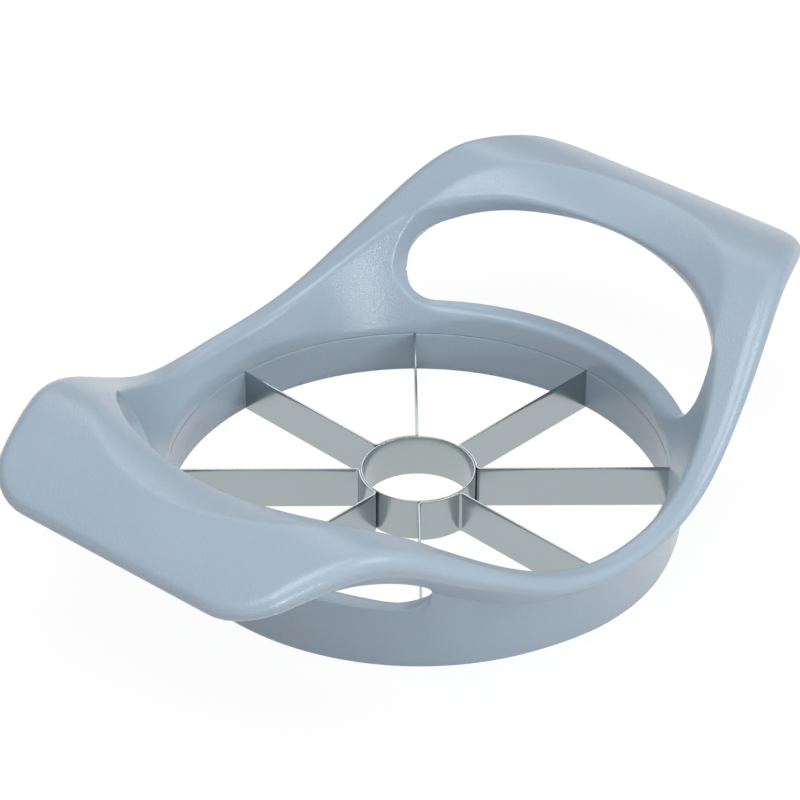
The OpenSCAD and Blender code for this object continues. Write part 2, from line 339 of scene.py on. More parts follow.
def seam_point(angle):
    """Where the skirt meets the outer face, as radius and height."""
    widest = skirt_radius(RING_TOP)
    x = widest * math.cos(angle)
    drop = mix(SEAM_DROP_SIDE, SEAM_DROP_HANDLE, ease(x / (widest * SEAM_REACH)) ** SEAM_POWER)
    z = side_profile(x) - drop
    low, high, _ = slope_ends(angle)
    slope_r = mix(low[0], high[0], (z - low[1]) / (high[1] - low[1]))
    return np.array((max(skirt_radius(z) + changes(angle, SKIRT_SWELLS + SEAM_FLARES), slope_r + WEB_T), z))


def outer_face(angle):
    """The straight face outside: where it leaves the rim's round, the angle there, and the seam."""
    centre, radius, out, tilt, _ = rim_round(angle)
    seam = lift(seam_point(angle), angle)[0]
    open_by = max(OPEN_TIP_OUT - math.degrees(angle), 0)
    seam[2] -= 0.25 * open_by ** 2 / (open_by + 2)      # the face turns steeper over the opening
    away = seam - centre
    flat_away = math.hypot(away[0], away[1])
    at = math.atan2(away[2], -flat_away) + math.acos(min(radius / math.hypot(flat_away, away[2]), 1))
    at = mix(-math.pi / 2 - tilt, at, ease((math.degrees(angle) - 20) / 11))
    return centre + radius * (out * math.cos(at) + np.array((0, 0, math.sin(at)))), at, seam


def face_share(a):
    """How much of the outer face an opening cuts away, from the seam up."""
    high = mix(1.0, FACE_CUT, ease((a - 24) / 10))
    return mix(high, TIP_OUT_SHARE, closing(a, OPEN_TIP_OUT, *CLOSE_HIGH_OUT))


def face_foot(angle):
    """Lower end of the outer face, at the seam or above an opening."""
    leave, _, seam = outer_face(angle)
    return seam + (leave - seam) * face_share(math.degrees(angle))


def drawn_to(tip, p, close):
    """A point moved over in plan to an opening's tip, mostly in the last few degrees."""
    share = close ** 5
    return np.array((mix(p[0], tip[0], share), mix(p[1], tip[1], share), p[2]))


def under_edge(angle):
    """Lower inner edge of an opening's upper side, as a point."""
    a = math.degrees(angle)
    close = closing(a, OPEN_TIP_OUT, *CLOSE_UNDER)
    grown = ease(a / 34)
    r = crest_radius(angle) + 0.6 * (1 - grown)
    tip = face_foot(angle)
    z = mix(slope_ends(angle)[1][1] - LIP_H - LIP_GROWS * grown, tip[2], close)
    p = lift((r, z), angle)[0]
    return drawn_to(tip, p, close)


def ring_edge(angle):
    """Upper outer edge of the ring under an opening, and its knee below."""
    close = closing(math.degrees(angle), OPEN_TIP_OUT, *CLOSE_LOW_OUT)
    leave, _, seam = outer_face(angle)
    tip = seam + (leave - seam) * TIP_OUT_SHARE
    z = mix(RING_TOP, tip[2], close)
    edge = lift((skirt_radius(z) + 0.1 * (1 - close), z), angle)[0]
    knee = lift(mix(np.array((skirt_radius(KNEE_Z), KNEE_Z)), seam_point(angle), close), angle)[0]
    return drawn_to(tip, edge, close), knee, close


def top_rows(angle, start, out_angle):
    """From a length past the crest over the top surface and the rim's round to its underside."""
    low, high, length = slope_ends(angle)
    crest = polar(high[0], angle)
    rim = rim_round(out_angle)[4]
    plan = np.linalg.norm(rim - crest)

    def at(s):
        if s < 0:
            return lift(on_slope(angle, length + s), angle)[0]
        p = mix(crest, rim, s / plan)
        return np.array((p[0], p[1], top_surface(p)))

    soft = min(max(-0.8 * start, 0.0), ROUND_CREST)
    s1 = max(-soft, start + 0.25)
    s2 = max(soft, s1 + 0.25)
    fold = dish_edge(angle) - high[0]
    fold_1 = max(fold - DISH_SOFT, s2 + (plan - s2) * 0.15)
    fold_2 = max(fold + DISH_SOFT, s2 + (plan - s2) * 0.4)
    steps = [*np.linspace(start, s1, 9)[:-1], *np.linspace(s1, s2, 8)[:-1],
             *np.linspace(s2, fold_1, 7)[:-1], *np.linspace(fold_1, fold_2, 6)[:-1],
             *np.linspace(fold_2, plan, 14)]
    return [softened(at, s, soft) for s in steps]


def edge_and_face_rows(angle, cut):
    """The rim's round and the outer face, to a length short of the opening's outer edge."""
    centre, radius, out, tilt, _ = rim_round(angle)
    leave, at, _ = outer_face(angle)
    rows = [centre + radius * (out * math.cos(t) + np.array((0, 0, math.sin(t))))
            for t in np.linspace(math.pi / 2 - tilt, at, 13)[1:]]
    foot = face_foot(angle)
    size = np.linalg.norm(foot - leave)
    end = leave + (foot - leave) * max(1 - cut / max(size, 1e-6), 0)
    return rows + [mix(leave, end, g) for g in np.linspace(0, 1, 9)[1:]]


def underside(foot, edge, angle):
    """From the outer face's foot in to the opening's lower inner edge, along the plate or straight."""
    web = ease((math.degrees(angle) - 27) / 6)
    drops = [top_surface(p[:2]) - p[2] for p in (foot, edge)]
    rows = []
    for g in np.linspace(0, 1, 14):
        p = mix(foot, edge, g)
        plate = top_surface(p[:2]) - mix(drops[0], drops[1], g)
        rows.append(np.array((p[0], p[1], mix(plate, p[2], web))))
    return np.array(rows)


def outer_rows(angle, share):
    """From a share of the way up to the ring's outer edge, down the skirt to the bottom rim."""
    edge, knee, close = ring_edge(angle)
    r = RING_R + FOOT_W + changes(angle, SKIRT_SWELLS)
    foot, end, *bottom = lift(np.array((
        (r, 0), (r + 0.04, 0.3), (r - 0.1, 0.07), (r - FOOT_ROUND, 0), ((r + RING_R) / 2, 0))), angle)
    start = mix(knee, edge, share)
    up_len = np.linalg.norm(start - knee)
    soft = min(ROUND_SEAM * close, up_len * 0.9)
    down = (foot - knee) / np.linalg.norm(foot - knee)
    rise = (start - knee) / max(up_len, 1e-6)
    corner = bend(knee + rise * max(soft, 0.02), knee, knee + down * max(soft, 0.02), 6)
    rows = list(mix(start, corner[0], t) for t in np.linspace(0, 1, 5)[:-1]) + list(corner)
    last = corner[-1]
    out = polar(1, math.atan2(last[1], last[0]))
    over = math.hypot(last[0], last[1]) - skirt_radius(last[2]) - changes(angle, SKIRT_SWELLS)
    for t in np.linspace(0, 1, 14)[1:]:    # the flare towards the seam starts softly
        p = mix(last, end, t)
        rows.append(p - np.append(out * over * t * (1 - t), 0))
    return np.array(rows + bottom)


def away_from_hole(along, across, upper):
    """Unit steps away from an opening's edge, along and across the section."""
    da, dq = np.gradient(along), np.gradient(across)
    size = np.hypot(da, dq)
    na, nq = (-dq / size, da / size) if upper else (dq / size, -da / size)
    na[-1], nq[-1] = 1.0, 0.0
    return na, nq


def round_path(points, rounds, between):
    """A path over two corners with a round at each, ending where its first and last points are."""
    first, a, b, last = points
    span = b - a
    size = max(np.linalg.norm(span), 1e-9)
    wa = a + span / size * min(rounds[0], 0.45 * size)
    wb = b - span / size * min(rounds[1], 0.45 * size)
    middle = [mix(wa, wb, t) for t in np.linspace(0, 1, between + 1)[1:-1]]
    return np.vstack((bend(first, a, wa, 7), middle, bend(wb, b, last, 7)))


def bend_ends(rows, cut, first):
    """Shortens a row of points at both ends by a length, with a round from the first point given."""
    along = np.concatenate(([0], np.cumsum(np.linalg.norm(np.diff(rows, axis=0), axis=1))))
    total = max(along[-1], 1e-9)
    cut = min(cut, 0.4 * total)
    inner = np.linspace(cut, total - cut, 9)
    line = np.column_stack([np.interp(inner, along, rows[:, c]) for c in range(3)])
    return np.vstack((bend(first, rows[0], line[0], 6), line[1:]))


PLAIN_STEP = 1.25                      # degrees from section to section over a handle
TIP_SECTIONS = 46
SIDE_SECTIONS = 50
LOW_IN_R = 55                          # about the radii that the four edges of an opening follow
HIGH_IN_R = 57
LOW_OUT_R = 56
HIGH_OUT_R = 58
OUT_R = 57.3


def frame_sections():
    """Sections over a quarter of the ring, from the handle's axis to the side, each in five parts:
    inner wall, top and outer face, skirt, and the opening's lower and upper walls where it is open."""
    plain = np.arange(0, OPEN_BEND - 0.5, PLAIN_STEP)
    x = np.sin(np.linspace(0, 1, TIP_SECTIONS) * math.pi / 2)
    inside = np.radians(np.concatenate((plain, OPEN_BEND + (OPEN_TIP_IN - OPEN_BEND) * x)))
    outside = np.radians(np.concatenate((plain, OPEN_BEND + (OPEN_TIP_OUT - OPEN_BEND) * x)))
    tip = len(inside) - 1
    length = np.array([slope_ends(a)[2] for a in inside])
    degrees = np.degrees(inside)
    tip_low, tip_high, _ = slope_ends(inside[-1])
    rise = mix(tip_low[1], tip_high[1], TIP_SHARE) - RING_TOP + 0.2
    low_share = []
    for a, t in zip(inside, degrees):
        low, high, _ = slope_ends(a)
        z = RING_TOP + rise * closing(t, OPEN_TIP_IN, *CLOSE_LOW_IN) - 0.2 * ease((t - 20) / 15)
        low_share.append(max((z - low[1]) / (high[1] - low[1]), 0))
    low_share = np.array(low_share)
    high_share = np.array([1 - (1 - TIP_SHARE) * closing(t, OPEN_TIP_IN, *CLOSE_HIGH_IN) for t in degrees])
    over = np.array([1 - ease((t - 30) / 12) for t in degrees])
    round_in = np.array([mix(ROUND_TOP, ROUND_END, ease((t - 32) / 10)) for t in degrees])
    round_lip = np.array([mix(ROUND_LIP, ROUND_END, ease((t - 33) / 8)) for t in degrees])
    along_low_in, across_low_in = away_from_hole(LOW_IN_R * inside, low_share * length, False)
    high_lengths = high_share * length - ROUND_RING * over
    along_high_in, across_high_in = away_from_hole(HIGH_IN_R * inside, high_lengths, True)
    ring_edges = [ring_edge(a) for a in outside]
    feet = [face_foot(a) for a in outside]
    unders = [under_edge(a) for a in outside]
    ring_heights = np.array([edge[2] for edge, _, _ in ring_edges])
    foot_heights = np.array([foot[2] - side_profile(foot[0]) for foot in feet])
    along_low_out, across_low_out = away_from_hole(LOW_OUT_R * outside, ring_heights, False)
    along_high_out, across_high_out = away_from_hole(HIGH_OUT_R * outside, foot_heights, True)
    sections = []
    for k in range(tip + 1):
        soft_in, soft_lip = round_in[k], round_lip[k]
        # inner wall and slope, up to the opening's lower edge
        angle_low_in = inside[k] + soft_in * along_low_in[k] / LOW_IN_R
        low_at = low_share[k] + soft_in * across_low_in[k] / length[k]
        inner = inner_rows(angle_low_in, low_at * slope_ends(angle_low_in)[2])
        # upper edge, top surface, rim and underside
        angle_high_in = inside[k] + soft_lip * along_high_in[k] / LOW_IN_R
        high_at = high_share[k] + (soft_lip * across_high_in[k] - ROUND_RING * over[k]) / length[k]
        angle_high_out = outside[k] + ROUND_OUT * along_high_out[k] / OUT_R
        angle_low_out = outside[k] + ROUND_OUT * along_low_out[k] / OUT_R
        if k == tip:
            angle_high_out = angle_low_out
        top = top_rows(angle_high_in, (high_at - 1) * slope_ends(angle_high_in)[2], angle_high_out)
        upper = np.array(top + edge_and_face_rows(angle_high_out, ROUND_OUT * across_high_out[k]))
        # skirt, from the ring's outer edge down
        edge, knee, _ = ring_edge(angle_low_out)
        up_len = np.linalg.norm(edge - knee)
        outer = outer_rows(angle_low_out, 1.0 + ROUND_OUT * across_low_out[k] / up_len)
        # the opening's wall between its inner and outer edges, with rounds
        low_edge = lift(on_slope(inside[k], low_share[k] * length[k]), inside[k])[0]
        set_back = over[k] * ROUND_RING * np.array((1, DISH_SLOPE))
        high_edge = lift(on_slope(inside[k], high_share[k] * length[k]) - set_back, inside[k])[0]
        lower = round_path((inner[-1], low_edge, ring_edges[k][0], outer[0]), (soft_in, ROUND_OUT), 3)
        under = underside(feet[k], unders[k], outside[k])
        under = bend_ends(under, min(ROUND_OUT, 0.4 * np.linalg.norm(unders[k] - feet[k])), upper[-1])
        wall = round_path((under[-1], unders[k], high_edge, upper[0]), (ROUND_OUT, soft_lip), 3)
        raised = np.vstack((under, wall[1:]))
        if k == tip:                   # both walls meet in one line, some of its points repeated
            raised = lower[::-1][[*np.repeat(range(7), 2), *[6] * 6, *range(7, 16)]]
        sections.append((inner, upper, outer, lower, raised))
    for v in np.linspace(0, 1, SIDE_SECTIONS)[1:]:
        share = 0.2 * v + 0.8 * v ** 1.6    # closer together next to the opening
        a_in = mix(angle_low_in, math.pi / 2, share)
        a_out = mix(angle_low_out, math.pi / 2, share)
        length_in = slope_ends(a_in)[2]
        inner = inner_rows(a_in, TIP_SHARE * length_in)
        upper = np.array(top_rows(a_in, (TIP_SHARE - 1) * length_in, a_out) + edge_and_face_rows(a_out, 0))
        sections.append((inner, upper, outer_rows(a_out, 1.0), None, None))
    return sections


def frame_mesh():
    """Points and faces of the whole frame: the quarter's sections, mirrored round the ring."""
    sections = frame_sections()
    last = len(sections) - 1
    order = [*range(last + 1), *range(last - 1, -1, -1), *range(1, last + 1), *range(last - 1, 0, -1)]
    sides = [(1, 1)] * (last + 1) + [(-1, 1)] * last + [(-1, -1)] * last + [(1, -1)] * (last - 1)
    verts, faces, stations = [], [], []
    for k, side in zip(order, sides):
        parts = []                     # each part's first point and its number of points
        for rows in sections[k]:
            if rows is None:
                parts.append(None)
                continue
            parts.append((len(verts), len(rows)))
            verts.extend(rows * np.array((*side, 1.0)) * MM)
        stations.append(parts)
    for here, after in zip(stations, stations[1:] + stations[:1]):
        for a, b in zip(here, after):
            if a and b:
                faces += [(a[0] + r, a[0] + r + 1, b[0] + r + 1, b[0] + r) for r in range(a[1] - 1)]
        # the bottom rim closes the skirt to the inner wall
        a_skirt, b_skirt = (parts[2][0] + parts[2][1] - 1 for parts in (here, after))
        faces.append((a_skirt, here[0][0], after[0][0], b_skirt))
    return verts, faces


def to_object(name, verts, faces):
    """A closed, smooth-shaded object from points and faces; points that coincide are joined."""
    merge = 0.001 * MM
    mesh = bpy.data.meshes.new(name)
    mesh.from_pydata([tuple(v) for v in verts], [], faces)
    bm = bmesh.new()
    bm.from_mesh(mesh)
    bmesh.ops.remove_doubles(bm, verts=bm.verts, dist=merge)
    bmesh.ops.dissolve_degenerate(bm, edges=bm.edges, dist=merge)
    bmesh.ops.recalc_face_normals(bm, faces=bm.faces)
    bm.to_mesh(mesh)
    bm.free()
    for polygon in mesh.polygons:
        polygon.use_smooth = True
    obj = bpy.data.objects.new(name, mesh)
    scene.collection.objects.link(obj)
    return obj


moulding = to_object("moulded_frame", *frame_mesh())


def srgb(code, alpha=1.0):
    """A colour from its sRGB hex code, as linear light."""
    parts = [int(code[i:i + 2], 16) / 255 for i in (1, 3, 5)]
    return tuple(c / 12.92 if c <= 0.04045 else ((c + 0.055) / 1.055) ** 2.4 for c in parts) + (alpha,)


def add(tree, kind, settings=None, inputs=None):
    """One node with its settings; an input is a value or the socket linked into it."""
    node = tree.nodes.new(kind)
    for key, value in (settings or {}).items():
        setattr(node, key, value)
    for key, value in (inputs or {}).items():
        if isinstance(value, bpy.types.NodeSocket):
            tree.links.new(value, node.inputs[key])
        else:
            node.inputs[key].default_value = value
    return node


def new_material(name):
    """A new material with an empty node tree, and the tree."""
    material = bpy.data.materials.new(name)
    material.use_nodes = True
    tree = material.node_tree
    tree.nodes.clear()
    return material, tree


# Moulded polypropylene: pale blue-grey, and satin from the mould's fine grain, which
# glitters where light grazes it. The real grain is finer than this one, which is drawn
# as coarse as it needs to show. The colour is a little cloudy.
GRAINS_PER_MM = 2.8
GRAIN_DEPTH = 0.1 * MM
CLOUDS_PER_MM = 0.045
plastic, tree = new_material("moulded_polypropylene_fine_grain")
place_on = add(tree, "ShaderNodeTexCoord").outputs["Object"]
grain = add(tree, "ShaderNodeTexNoise", None,
            {"Vector": place_on, "Scale": GRAINS_PER_MM / MM, "Detail": 2.0, "Roughness": 0.5})
bump = add(tree, "ShaderNodeBump", None,
           {"Height": grain.outputs["Fac"], "Strength": 0.6, "Distance": GRAIN_DEPTH})
cloud = add(tree, "ShaderNodeTexNoise", None,
            {"Vector": place_on, "Scale": CLOUDS_PER_MM / MM, "Detail": 3.0})
colour = add(tree, "ShaderNodeMix", {"data_type": "RGBA"},
             {"Factor": cloud.outputs["Fac"], 6: srgb("#a6b8c8"), 7: srgb("#aebfce")})
shader = add(tree, "ShaderNodeBsdfPrincipled", None,
             {"Base Color": colour.outputs[2], "Normal": bump.outputs["Normal"], "Roughness": 0.26,
              "IOR": 1.49, "Specular IOR Level": 0.6})
add(tree, "ShaderNodeOutputMaterial", None, {"Surface": shader.outputs["BSDF"]})
moulding.data.materials.append(plastic)
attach(moulding, "root")
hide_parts("frame")

# ---------------------------------------------------------------------------
# Blade pairs: four pieces, each one strip of stainless steel that is folded into
# two arms and an arc. The arc is spot-welded to the core ring, and the arms'
# ends are moulded into the frame.
BLADE_H = 9.0
STEEL_T = 0.42
CORE_R = 11.5                          # the core ring, outside
ARC_PLAY = 0.02                        # between the core ring and an arc
ARC_R = CORE_R + ARC_PLAY + STEEL_T / 2
ARC_WITHIN = 12.1                      # what lies nearer than this is arc, and not arm
ARM_END = 51.5
FOLD_R = 0.8
EDGE_SOFT = 0.06                       # round of the rolled strip's edges
BLADE_PAIRS = 4
ARMS_ANGLE = 45                        # between the two arms of a strip
FIRST_ARM = 41
SPOT_ANGLE = 18                        # the weld spot, on from the first arm
SPOT_H = 4.2
SPOT_DEPTH = 0.06
SPOT_FLAT = 0.5                        # radius of its floor and of its rim
SPOT_RIM = 1.1


def socket(tree, name, kind="NodeSocketFloat", side="INPUT"):
    tree.interface.new_socket(name, in_out=side, socket_type=kind)


strip_tree = bpy.data.node_groups.new("folded_strip", "GeometryNodeTree")
socket(strip_tree, "Geometry", "NodeSocketGeometry", "OUTPUT")
for name in ("Height", "Thickness", "Reach", "Arc Radius", "Fold Radius", "Arms Angle", "Turn",
             "Spot Angle", "Spot Height", "Spot Depth"):
    socket(strip_tree, name)
socket(strip_tree, "Steel", "NodeSocketMaterial")
given = add(strip_tree, "NodeGroupInput").outputs
CORNERS = 14                           # arm end, arc in twelve points, arm end
line = add(strip_tree, "GeometryNodeMeshLine", None, {"Count": CORNERS})
index = add(strip_tree, "GeometryNodeInputIndex").outputs[0]
middle = (CORNERS - 1) / 2
from_mid = add(strip_tree, "ShaderNodeMath", {"operation": "SUBTRACT"}, {0: index, 1: middle})
from_mid = add(strip_tree, "ShaderNodeMath", {"operation": "ABSOLUTE"}, {0: from_mid.outputs[0]})
is_end = add(strip_tree, "ShaderNodeMath", {"operation": "GREATER_THAN"},
             {0: from_mid.outputs[0], 1: middle - 0.5})
is_fold = add(strip_tree, "ShaderNodeMath", {"operation": "GREATER_THAN"},
              {0: from_mid.outputs[0], 1: middle - 1.5})
share = add(strip_tree, "ShaderNodeMath", {"operation": "SUBTRACT"}, {0: index, 1: 1.0})
share = add(strip_tree, "ShaderNodeMath", {"operation": "DIVIDE", "use_clamp": True},
            {0: share.outputs[0], 1: CORNERS - 3.0})
angle = add(strip_tree, "ShaderNodeMath", {"operation": "MULTIPLY"},
            {0: share.outputs[0], 1: given["Arms Angle"]})
radius = add(strip_tree, "ShaderNodeMix", {"data_type": "FLOAT"},
             {"Factor": is_end.outputs[0], 2: given["Arc Radius"], 3: given["Reach"]})
cosine = add(strip_tree, "ShaderNodeMath", {"operation": "COSINE"}, {0: angle.outputs[0]})
sine = add(strip_tree, "ShaderNodeMath", {"operation": "SINE"}, {0: angle.outputs[0]})
x = add(strip_tree, "ShaderNodeMath", {"operation": "MULTIPLY"}, {0: cosine.outputs[0], 1: radius.outputs[0]})
y = add(strip_tree, "ShaderNodeMath", {"operation": "MULTIPLY"}, {0: sine.outputs[0], 1: radius.outputs[0]})
z = add(strip_tree, "ShaderNodeMath", {"operation": "MULTIPLY"}, {0: given["Height"], 1: 0.5})
point = add(strip_tree, "ShaderNodeCombineXYZ", None, {0: x.outputs[0], 1: y.outputs[0], 2: z.outputs[0]})
placed = add(strip_tree, "GeometryNodeSetPosition", None,
             {"Geometry": line.outputs[0], "Position": point.outputs[0]})
path = add(strip_tree, "GeometryNodeMeshToCurve", None, {"Mesh": placed.outputs[0]})
fold = add(strip_tree, "ShaderNodeMath", {"operation": "MULTIPLY"},
           {0: is_fold.outputs[0], 1: given["Fold Radius"]})
path = add(strip_tree, "GeometryNodeFilletCurve", {"mode": "POLY"},
           {"Curve": path.outputs[0], "Count": 7, "Radius": fold.outputs[0], "Limit Radius": True})
# finer steps along the arc, where the weld spots are pressed in
here = add(strip_tree, "GeometryNodeInputPosition").outputs[0]
flat = add(strip_tree, "ShaderNodeVectorMath", {"operation": "MULTIPLY"}, {0: here, 1: (1, 1, 0)})
away = add(strip_tree, "ShaderNodeVectorMath", {"operation": "LENGTH"}, {0: flat.outputs[0]})
on_arc = add(strip_tree, "ShaderNodeMath", {"operation": "LESS_THAN"},
             {0: away.outputs["Value"], 1: ARC_WITHIN * MM})
cuts = add(strip_tree, "ShaderNodeMath", {"operation": "MULTIPLY"}, {0: on_arc.outputs[0], 1: 3.0})
path = add(strip_tree, "GeometryNodeSubdivideCurve", None,
           {"Curve": path.outputs[0], "Cuts": cuts.outputs[0]})
path = add(strip_tree, "GeometryNodeSetCurveNormal", {"mode": "Z_UP"}, {"Curve": path.outputs[0]})
length = add(strip_tree, "GeometryNodeSplineParameter").outputs["Length"]
held = add(strip_tree, "GeometryNodeCaptureAttribute", {"domain": "POINT"})
held.capture_items.new("FLOAT", "along")
strip_tree.links.new(path.outputs[0], held.inputs[0])
strip_tree.links.new(length, held.inputs[1])
profile = add(strip_tree, "GeometryNodeCurvePrimitiveQuadrilateral", None,
              {"Width": given["Thickness"], "Height": given["Height"]})
profile = add(strip_tree, "GeometryNodeFilletCurve", {"mode": "POLY"},
              {"Curve": profile.outputs[0], "Count": 2, "Radius": EDGE_SOFT * MM, "Limit Radius": True})
profile = add(strip_tree, "GeometryNodeSubdivideCurve", None, {"Curve": profile.outputs[0], "Cuts": 11})
strip = add(strip_tree, "GeometryNodeCurveToMesh", None,
            {"Curve": held.outputs[0], "Profile Curve": profile.outputs[0], "Fill Caps": True})
strip = add(strip_tree, "GeometryNodeStoreNamedAttribute", {"data_type": "FLOAT", "domain": "POINT"},
            {"Geometry": strip.outputs[0], "Name": "along", "Value": held.outputs[1]})
# the weld spot: a shallow dent in the outer face
spot_x = add(strip_tree, "ShaderNodeMath", {"operation": "COSINE"}, {0: given["Spot Angle"]})
spot_y = add(strip_tree, "ShaderNodeMath", {"operation": "SINE"}, {0: given["Spot Angle"]})
spot = add(strip_tree, "ShaderNodeCombineXYZ", None, {0: spot_x.outputs[0], 1: spot_y.outputs[0]})
spot = add(strip_tree, "ShaderNodeVectorMath", {"operation": "SCALE"},
           {0: spot.outputs[0], "Scale": given["Arc Radius"]})
spot_z = add(strip_tree, "ShaderNodeCombineXYZ", None, {2: given["Spot Height"]})
spot = add(strip_tree, "ShaderNodeVectorMath", {"operation": "ADD"},
           {0: spot.outputs[0], 1: spot_z.outputs[0]})
off = add(strip_tree, "ShaderNodeVectorMath", {"operation": "DISTANCE"}, {0: here, 1: spot.outputs[0]})
dent = add(strip_tree, "ShaderNodeMapRange", {"interpolation_type": "SMOOTHSTEP"},
           {"Value": off.outputs["Value"], "From Min": SPOT_FLAT * MM, "From Max": SPOT_RIM * MM,
            "To Min": 1.0, "To Max": 0.0})
outside = add(strip_tree, "ShaderNodeMath", {"operation": "GREATER_THAN"},
              {0: away.outputs["Value"], 1: given["Arc Radius"]})
dent = add(strip_tree, "ShaderNodeMath", {"operation": "MULTIPLY"},
           {0: dent.outputs[0], 1: outside.outputs[0]})
dent = add(strip_tree, "ShaderNodeMath", {"operation": "MULTIPLY"},
           {0: dent.outputs[0], 1: given["Spot Depth"]})
inward = add(strip_tree, "ShaderNodeVectorMath", {"operation": "NORMALIZE"}, {0: flat.outputs[0]})
inward = add(strip_tree, "ShaderNodeVectorMath", {"operation": "SCALE"},
             {0: inward.outputs[0], "Scale": dent.outputs[0]})
inward = add(strip_tree, "ShaderNodeVectorMath", {"operation": "SCALE"},
             {0: inward.outputs[0], "Scale": -1.0})
strip = add(strip_tree, "GeometryNodeSetPosition", None,
            {"Geometry": strip.outputs[0], "Offset": inward.outputs[0]})
spin = add(strip_tree, "ShaderNodeCombineXYZ", None, {2: given["Turn"]})
strip = add(strip_tree, "GeometryNodeTransform", None,
            {"Geometry": strip.outputs[0], "Rotation": spin.outputs[0]})
strip = add(strip_tree, "GeometryNodeSetMaterial", None,
            {"Geometry": strip.outputs[0], "Material": given["Steel"]})
strip = add(strip_tree, "GeometryNodeRealizeInstances", None, {"Geometry": strip.outputs[0]})
add(strip_tree, "NodeGroupOutput", None, {0: strip.outputs[0]})


def grown(name, tree, sizes):
    """A plain mesh from a geometry tree with its named sizes."""
    obj = bpy.data.objects.new(name, bpy.data.meshes.new(name))
    scene.collection.objects.link(obj)
    modifier = obj.modifiers.new("tree", "NODES")
    modifier.node_group = tree
    for item in tree.interface.items_tree:
        if item.in_out == "INPUT" and item.name in sizes:
            modifier[item.identifier] = sizes[item.name]
    bpy.context.view_layer.update()
    mesh = bpy.data.meshes.new_from_object(obj.evaluated_get(bpy.context.evaluated_depsgraph_get()))
    obj.modifiers.clear()
    obj.data = mesh
    mesh.name = name
    for polygon in mesh.polygons:
        polygon.use_smooth = True
    return obj


# Cold-rolled stainless strip: grey with a trace of green, close to a mirror, with
# faint rolling lines along its length.
ROLL_LINES_PER_MM = 9.0
ROLL_BREAKS_PER_MM = 0.12              # along a line
LINE_DEPTH = 0.05 * MM
strip_steel, tree = new_material("rolled_stainless_strip")
along = add(tree, "ShaderNodeAttribute", {"attribute_name": "along"})
place_on = add(tree, "ShaderNodeSeparateXYZ", None, {0: add(tree, "ShaderNodeTexCoord").outputs["Object"]})
lines_at = add(tree, "ShaderNodeCombineXYZ", None, {0: along.outputs["Fac"], 1: place_on.outputs[2]})
lines_at = add(tree, "ShaderNodeVectorMath", {"operation": "MULTIPLY"},
               {0: lines_at.outputs[0], 1: (ROLL_BREAKS_PER_MM / MM, ROLL_LINES_PER_MM / MM, 1)})
lines = add(tree, "ShaderNodeTexNoise", None, {"Vector": lines_at.outputs[0], "Scale": 1.0, "Detail": 2.0})
bump = add(tree, "ShaderNodeBump", None,
           {"Height": lines.outputs["Fac"], "Strength": 0.06, "Distance": LINE_DEPTH})
rough = add(tree, "ShaderNodeMapRange", None, {"Value": lines.outputs["Fac"], "To Min": 0.14, "To Max": 0.24})
shader = add(tree, "ShaderNodeBsdfPrincipled", None,
             {"Base Color": srgb("#a6afb1"), "Metallic": 1.0, "Roughness": rough.outputs[0],
              "Normal": bump.outputs["Normal"]})
add(tree, "ShaderNodeOutputMaterial", None, {"Surface": shader.outputs["BSDF"]})

for pair in range(BLADE_PAIRS):
    turn = FIRST_ARM + 360 / BLADE_PAIRS * pair
    blade = grown("folded_blade_strip_%d" % (pair + 1), strip_tree, {
        "Height": BLADE_H * MM, "Thickness": STEEL_T * MM, "Reach": ARM_END * MM,
        "Arc Radius": ARC_R * MM, "Fold Radius": FOLD_R * MM,
        "Arms Angle": math.radians(ARMS_ANGLE), "Turn": math.radians(turn),
        "Spot Angle": math.radians(SPOT_ANGLE), "Spot Height": SPOT_H * MM,
        "Spot Depth": SPOT_DEPTH * MM, "Steel": strip_steel})
    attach(blade, "root")
    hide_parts("blade_pair_%d" % (pair + 1))

# ---------------------------------------------------------------------------
# Core ring: a rolled strip of stainless steel, butt-welded into a tube. Its cut
# edges are a little softened, and the weld shows inside as a low flat rib.
TUBE_EDGE_SOFT = 0.08
WELD_ANGLE = 30
WELD_FLAT = 0.28                       # half widths of the rib's top and of its foot
WELD_FOOT = 0.55
WELD_RISE = 0.03
ring_tree = bpy.data.node_groups.new("core_tube", "GeometryNodeTree")
socket(ring_tree, "Geometry", "NodeSocketGeometry", "OUTPUT")
for name in ("Height", "Thickness", "Outer Radius", "Seam Angle", "Seam Width", "Seam Rise"):
    socket(ring_tree, name)
socket(ring_tree, "Steel", "NodeSocketMaterial")
given = add(ring_tree, "NodeGroupInput").outputs
half_t = add(ring_tree, "ShaderNodeMath", {"operation": "MULTIPLY"}, {0: given["Thickness"], 1: 0.5})
radius = add(ring_tree, "ShaderNodeMath", {"operation": "SUBTRACT"},
             {0: given["Outer Radius"], 1: half_t.outputs[0]})
circle = add(ring_tree, "GeometryNodeCurvePrimitiveCircle", None,
             {"Resolution": 360, "Radius": radius.outputs[0]})
circle = add(ring_tree, "GeometryNodeSetCurveNormal", {"mode": "Z_UP"}, {"Curve": circle.outputs[0]})
profile = add(ring_tree, "GeometryNodeCurvePrimitiveQuadrilateral", None,
              {"Width": given["Thickness"], "Height": given["Height"]})
profile = add(ring_tree, "GeometryNodeFilletCurve", {"mode": "POLY"},
              {"Curve": profile.outputs[0], "Count": 3, "Radius": TUBE_EDGE_SOFT * MM, "Limit Radius": True})
tube = add(ring_tree, "GeometryNodeCurveToMesh", None,
           {"Curve": circle.outputs[0], "Profile Curve": profile.outputs[0]})
half_h = add(ring_tree, "ShaderNodeMath", {"operation": "MULTIPLY"}, {0: given["Height"], 1: 0.5})
raised = add(ring_tree, "ShaderNodeCombineXYZ", None, {2: half_h.outputs[0]})
tube = add(ring_tree, "GeometryNodeTransform", None,
           {"Geometry": tube.outputs[0], "Translation": raised.outputs[0]})
here = add(ring_tree, "GeometryNodeInputPosition").outputs[0]
